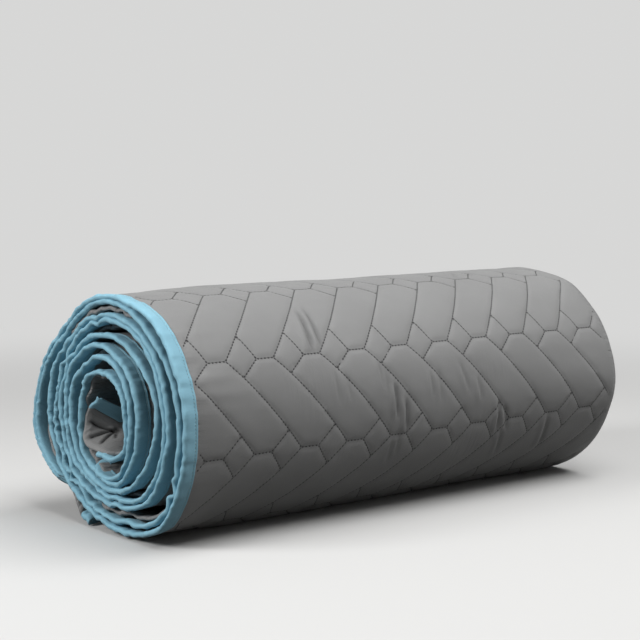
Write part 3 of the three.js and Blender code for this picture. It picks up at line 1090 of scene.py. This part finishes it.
def make_end_binding(name, start, end, material):
    """The tape across an end of the strip: around all the layers, over the cloth's cut end."""
    section = strip_section(END_TAPE_STOPS, TAPE_HALF)
    steps = int(abs(length_at(end) - length_at(start)) / END_TAPE_STEP)
    angles = np.linspace(start, end, steps + 1)
    xs, places = outline_grid(section.outline(), angles)[:2]
    index, faces = sweep(places)
    rungs = range(len(section.rungs))
    faces += cap_faces(rungs, index[0], False) + cap_faces(rungs, index[-1], True)
    runs = np.broadcast_to(length_at(angles)[:, None], xs.shape)
    uv = np.stack([xs, runs], -1).reshape(-1, 2) * MM
    wrinkled = {"gather": np.full(xs.size, WRINKLED["end"])}
    return make_object(name, places.reshape(-1, 3), faces, material, wrinkled, uv)


def stitch_marks(layer, anchor, seed):
    """Where the stitches that hold the tape lie, on both of its sides."""
    runs = np.arange(length_at(STITCHED_FROM), length_at(STITCHED_TO), STITCH_PITCH)
    sides = []
    for sign in (1, -1):
        def at(along, across, rise):
            out = sign * (STITCH_LEVEL + rise)
            return tape_point(layer, anchor, angle_at(runs + along), STITCH_X + across, out, seed)
        sides.append(marks_on(at))
    return [np.concatenate(pair) for pair in zip(*sides)]


# ---- Welds -----------------------------------------------------------
WELD_PITCH = 4.0
WELD_SIZE = {"Length": 1.25, "Width": 0.95, "Height": 0.2, "Raise": 0.2}
WELDED_X = (20.0, FINE_TO)
WELDED_TO = 290.0  # the outer turn is in sight before this winding angle
WELDED_ROWS = range(-4, 5)
WELDED_COLUMNS = range(-5, 14)
SAME_WELD = 1.2  # where seams meet, welds closer than about this are one


def weld_places():
    """Points along every seam that shows on the outer turn, and the seam's direction at each."""
    low_up = length_at(ROW_ANGLE) - length_at(WELDED_TO)
    high_up = length_at(ROW_ANGLE) - length_at(CLOTH_FROM)
    points, directions = [], []
    for (au, av), (bu, bv) in SEAMS:
        du, dv = bu - au, bv - av
        long = math.hypot(du, dv)
        direction = np.array([[du + TWIST * dv, -dv]]) / long
        count = round(long / WELD_PITCH)
        steps = (np.arange(count) + 0.5) / count
        for row in WELDED_ROWS:
            for column in WELDED_COLUMNS:
                up = av + dv * steps + row * REPEAT_RUN
                x, run = from_pattern(au + du * steps + column * REPEAT_X, up)
                shown = (x > WELDED_X[0]) & (x < WELDED_X[1]) & (up > low_up) & (up < high_up)
                points.append(np.stack([x, run], -1)[shown])
                directions.append(np.repeat(direction, shown.sum(), 0))
    points, directions = np.concatenate(points), np.concatenate(directions)
    cells = np.round(points / SAME_WELD).astype(int)
    keep = np.unique(cells, axis=0, return_index=True)[1]
    return points[keep], directions[keep]


def weld_marks():
    """Where the welds lie: at the bottom of the seams, on the outer face."""
    points, directions = weld_places()
    sideways = directions[:, ::-1] * np.array([-1, 1])

    def at(along, across, rise):
        x, run = (points + directions * along + sideways * across).T
        height = HALF + relief(x, run, nearest_seam(x, run)[0]) + rise
        return place_at("A1", angle_at(run), x, height)

    return marks_on(at)


# ---- Materials -------------------------------------------------------
GREY_DARK = (0.205, 0.205, 0.204)
GREY_LIGHT = (0.255, 0.256, 0.255)
BLUE_DARK = (0.212, 0.428, 0.542)
BLUE_LIGHT = (0.278, 0.535, 0.655)
# The welds are small dark domes: their near black is painted shade of pressed pits.
WELD_PIT_SHADE = (0.030, 0.030, 0.031)
THREAD_BLUE = (0.30, 0.46, 0.52)
CLOTH_SURFACE = {"Sheen Weight": 0.08, "Sheen Roughness": 0.45, "Specular IOR Level": 0.35}
GREY_ROUGHNESS, BLUE_ROUGHNESS = 0.6, 0.75

# Scales are in waves per metre, and depths in metres.
MOTTLE = {"Scale": 14.0, "Detail": 4.0}
GREY_WEAVE, BLUE_WEAVE = 900.0, 500.0
WEAVE_WOBBLE = 1.5
WEAVE_DEPTH = 0.0002
WEAVE_STRENGTH = 0.25
# Painted shade in the seams' grooves: beside a seam the colour falls to this share of the dark grey.
SEAM_PAINTED_SHADE = 0.70
SEAM_DEPTH = 0.0004
SEAM_STRENGTH = 0.4
# Painted shade in the creases: near black.
CREASE_PAINTED_SHADE = 0.02
CRUMPLE = {"scale": (70.0, 230.0, 1.0), "detail": 2.0, "depth": 0.0035}
STREAKS = {"scale": (190.0, 22.0, 1.0), "detail": 2.0, "depth": 0.0009}
STREAK_PATCHES = {"Scale": 9.0, "Detail": 1.0}
STREAKED = (0.56, 0.72)
TAPE_CRUMPLE = {"scale": (80.0, 300.0, 1.0), "detail": 3.0, "depth": 0.0009}


def solid(colour, share=1.0):
    return (*(share * c for c in colour), 1)


def start_material(name):
    material = bpy.data.materials.new(name)
    material.use_nodes = True
    material.node_tree.nodes.clear()
    return material, material.node_tree


def add_surface(tree, shader):
    add_node(tree, "ShaderNodeOutputMaterial", {"Surface": shader})


def principled(tree, inputs):
    return add_node(tree, "ShaderNodeBsdfPrincipled", inputs).outputs["BSDF"]


def mixed(tree, factor, first, second):
    """A colour between two."""
    inputs = {"Factor": factor, "A": first, "B": second}
    return add_node(tree, "ShaderNodeMix", inputs, data_type="RGBA").outputs["Result"]


def ranged(tree, value, low, high, **settings):
    """0 up to the low value, 1 from the high one on, and between them a ramp."""
    inputs = {"Value": value, "From Min": low, "From Max": high}
    return add_node(tree, "ShaderNodeMapRange", inputs, **settings).outputs["Result"]


def calculated(tree, operation, first, second):
    return add_node(tree, "ShaderNodeMath", {0: first, 1: second}, operation=operation).outputs["Value"]


def attribute_of(tree, name):
    return add_node(tree, "ShaderNodeAttribute", attribute_name=name).outputs["Fac"]


def crumpled(tree, uv, normal, kind, strength):
    """Bumps drawn out along the cloth or around the roll."""
    spread = add_node(tree, "ShaderNodeMapping", {"Vector": uv, "Scale": kind["scale"]})
    noise = add_node(tree, "ShaderNodeTexNoise", {
        "Vector": spread.outputs["Vector"],
        "Scale": 1.0,
        "Detail": kind["detail"],
    })
    return add_node(tree, "ShaderNodeBump", {
        "Strength": strength,
        "Distance": kind["depth"],
        "Height": noise.outputs["Fac"],
        "Normal": normal,
    }).outputs["Normal"]


def woven(tree, dark, light, weave):
    """The cloth's own map, its mottled colour, and its weave: two fine waves across each other."""
    place_on_roll = add_node(tree, "ShaderNodeTexCoord").outputs["Object"]
    mottle = add_node(tree, "ShaderNodeTexNoise", {"Vector": place_on_roll, **MOTTLE})
    colour = mixed(tree, mottle.outputs["Fac"], solid(dark), solid(light))
    uv = add_node(tree, "ShaderNodeUVMap", uv_map="cloth").outputs["UV"]
    threads = [
        add_node(tree, "ShaderNodeTexWave", {
            "Vector": uv,
            "Scale": weave,
            "Distortion": WEAVE_WOBBLE,
        }, bands_direction=direction).outputs["Fac"]
        for direction in ("X", "Y")
    ]
    bump = add_node(tree, "ShaderNodeBump", {
        "Strength": WEAVE_STRENGTH,
        "Distance": WEAVE_DEPTH,
        "Height": calculated(tree, "MULTIPLY", *threads),
    })
    return uv, colour, bump.outputs["Normal"]


def quilted_microfibre():
    """Grey cloth with painted shade beside its seams, in their grooves, and in its creases; crumpled where
    gathered, with faint streaks.
    """
    material, tree = start_material("quilted_microfibre")
    uv, colour, normal = woven(tree, GREY_DARK, GREY_LIGHT, GREY_WEAVE)
    # Painted shade: the colour darkens beside the seams, in their grooves.
    beside_seam = ranged(tree, attribute_of(tree, "seam"), 0.0, 1.0)
    colour = mixed(tree, beside_seam, solid(GREY_DARK, SEAM_PAINTED_SHADE), colour)
    # Painted shade, near black, in the creases.
    colour = mixed(tree, attribute_of(tree, "painted_crease_shade"), colour, solid(GREY_DARK, CREASE_PAINTED_SHADE))
    normal = crumpled(tree, uv, normal, CRUMPLE, attribute_of(tree, "gather"))
    patches = add_node(tree, "ShaderNodeTexNoise", {"Vector": uv, **STREAK_PATCHES})
    streaked = ranged(tree, patches.outputs["Fac"], *STREAKED)
    normal = crumpled(tree, uv, normal, STREAKS, streaked)
    groove = add_node(tree, "ShaderNodeBump", {
        "Strength": SEAM_STRENGTH,
        "Distance": SEAM_DEPTH,
        "Height": beside_seam,
        "Normal": normal,
    })
    finish = {"Base Color": colour, "Normal": groove.outputs["Normal"], "Roughness": GREY_ROUGHNESS}
    add_surface(tree, principled(tree, {**CLOTH_SURFACE, **finish}))
    return material


def binding_tape():
    """Blue cloth, crumpled where the tape is wrinkled."""
    material, tree = start_material("binding_tape")
    uv, colour, normal = woven(tree, BLUE_DARK, BLUE_LIGHT, BLUE_WEAVE)
    normal = crumpled(tree, uv, normal, TAPE_CRUMPLE, attribute_of(tree, "gather"))
    finish = {"Base Color": colour, "Normal": normal, "Roughness": BLUE_ROUGHNESS}
    add_surface(tree, principled(tree, {**CLOTH_SURFACE, **finish}))
    return material


def plain_material(name, colour, roughness):
    material, tree = start_material(name)
    add_surface(tree, principled(tree, {"Base Color": solid(colour), "Roughness": roughness}))
    return material


# ---- The pieces ------------------------------------------------------
grey = quilted_microfibre()
blue = binding_tape()
# Painted shade: dark domes stand for the welds' pressed pits.
weld = plain_material("weld_pit_painted_shade", WELD_PIT_SHADE, roughness=0.5)
thread = plain_material("stitch_thread", THREAD_BLUE, roughness=0.6)

panel = make_panel(grey)
outer_binding = make_edge_binding("outer_edge_tape", "A1", "outer", blue, OUTER_SEED)
inner_binding = make_edge_binding("inner_edge_tape", "B1", "inner", blue, INNER_SEED)
marks = marks_tree()
outer_marks = stitch_marks("A1", "outer", OUTER_SEED)
outer_stitches = make_marks("outer_edge_stitches", marks, outer_marks, STITCH_SIZE, thread)
inner_marks = stitch_marks("B1", "inner", INNER_SEED)
inner_stitches = make_marks("inner_edge_stitches", marks, inner_marks, STITCH_SIZE, thread)
free_binding = make_end_binding("free_end_tape", FREE_END_INNER, CLOTH_FROM - END_TAPE_GAP["free"], blue)
core_binding = make_end_binding("core_end_tape", CLOTH_TO + END_TAPE_GAP["core"], CORE_END, blue)
welds = make_marks("quilting_welds", marks, weld_marks(), WELD_SIZE, weld)

for piece, node in (
    (panel, "quilted_panel"),
    (outer_binding, "binding_outer_edge"),
    (inner_binding, "binding_inner_edge"),
    (free_binding, "binding_free_end"),
    (core_binding, "binding_core_end"),
):
    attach(piece, "root")
    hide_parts(node)
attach(welds, "root")
for stitches in (outer_stitches, inner_stitches):
    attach(stitches, "root")

# ---- Floor and light -------------------------------------------------
WORLD_LIGHT = (0.09, 0.09, 0.09)
BACKDROP = (0.68, 0.68, 0.675)
FLOOR_SIZE = 160.0
FLOOR_BOUNCE = (0.08, 0.079, 0.077)
FLOOR_SHOWN = (0.62, 0.618, 0.61)
FLOOR_ROUGHNESS = 0.9
FLOOR_FADES = (0.35, 1.9)  # from this distance on, and fully at that one
LAMPS = (
    # name, place, aim, size, power
    ("key", (0.3, -0.85, 2.1), (0.05, -0.05, 0.1), (2.4, 1.6), 60.0),
    ("fill", (-2.0, 0.3, 1.25), (-0.3, 0, 0.12), (0.8, 0.8), 33.0),
)


def add_lamp(name, where, aim, size, power):
    data = bpy.data.lights.new(name, "AREA")
    data.shape = "RECTANGLE"
    data.size, data.size_y = size
    data.energy = power
    lamp = add_object(name, data)
    lamp.location = where
    lamp.rotation_euler = (Vector(aim) - Vector(where)).to_track_quat("-Z", "Y").to_euler()


def shown_to_eye(tree):
    """1 for what the camera sees, also in a mirror or through glass, and 0 for light on its way."""
    path = add_node(tree, "ShaderNodeLightPath").outputs
    total = path["Is Camera Ray"]
    for ray in ("Is Glossy Ray", "Is Transmission Ray"):
        total = calculated(tree, "MAXIMUM", total, path[ray])
    return total


def floor_paint():
    """A pale floor, which keeps the shadow near the object and runs into the background far away."""
    material, tree = start_material("floor_paint")
    seen = shown_to_eye(tree)
    tone = mixed(tree, seen, solid(FLOOR_BOUNCE), solid(FLOOR_SHOWN))
    near = principled(tree, {"Base Color": tone, "Roughness": FLOOR_ROUGHNESS})
    where = add_node(tree, "ShaderNodeTexCoord").outputs["Object"]
    distance = add_node(tree, "ShaderNodeVectorMath", {0: where}, operation="LENGTH").outputs["Value"]
    away = ranged(tree, distance, *FLOOR_FADES, interpolation_type="SMOOTHERSTEP")
    far = add_node(tree, "ShaderNodeEmission", {"Color": solid(BACKDROP)}).outputs["Emission"]
    faded = {"Fac": calculated(tree, "MULTIPLY", away, seen), 1: near, 2: far}
    add_surface(tree, add_node(tree, "ShaderNodeMixShader", faded).outputs["Shader"])
    return material


def add_studio():
    """A pale floor and background to the camera, which throw little light back at the object."""
    bpy.ops.mesh.primitive_plane_add(size=FLOOR_SIZE, location=(0, 0, 0))
    floor = bpy.context.object
    floor.name = "floor"
    floor.data.materials.append(floor_paint())

    world = bpy.data.worlds.new("studio")
    world.use_nodes = True
    tree = world.node_tree
    tone = mixed(tree, shown_to_eye(tree), solid(WORLD_LIGHT), solid(BACKDROP))
    tree.links.new(tone, tree.nodes["Background"].inputs["Color"])
    bpy.context.scene.world = world
    for lamp in LAMPS:
        add_lamp(*lamp)
    bpy.context.scene.view_settings.view_transform = "Standard"


add_studio()
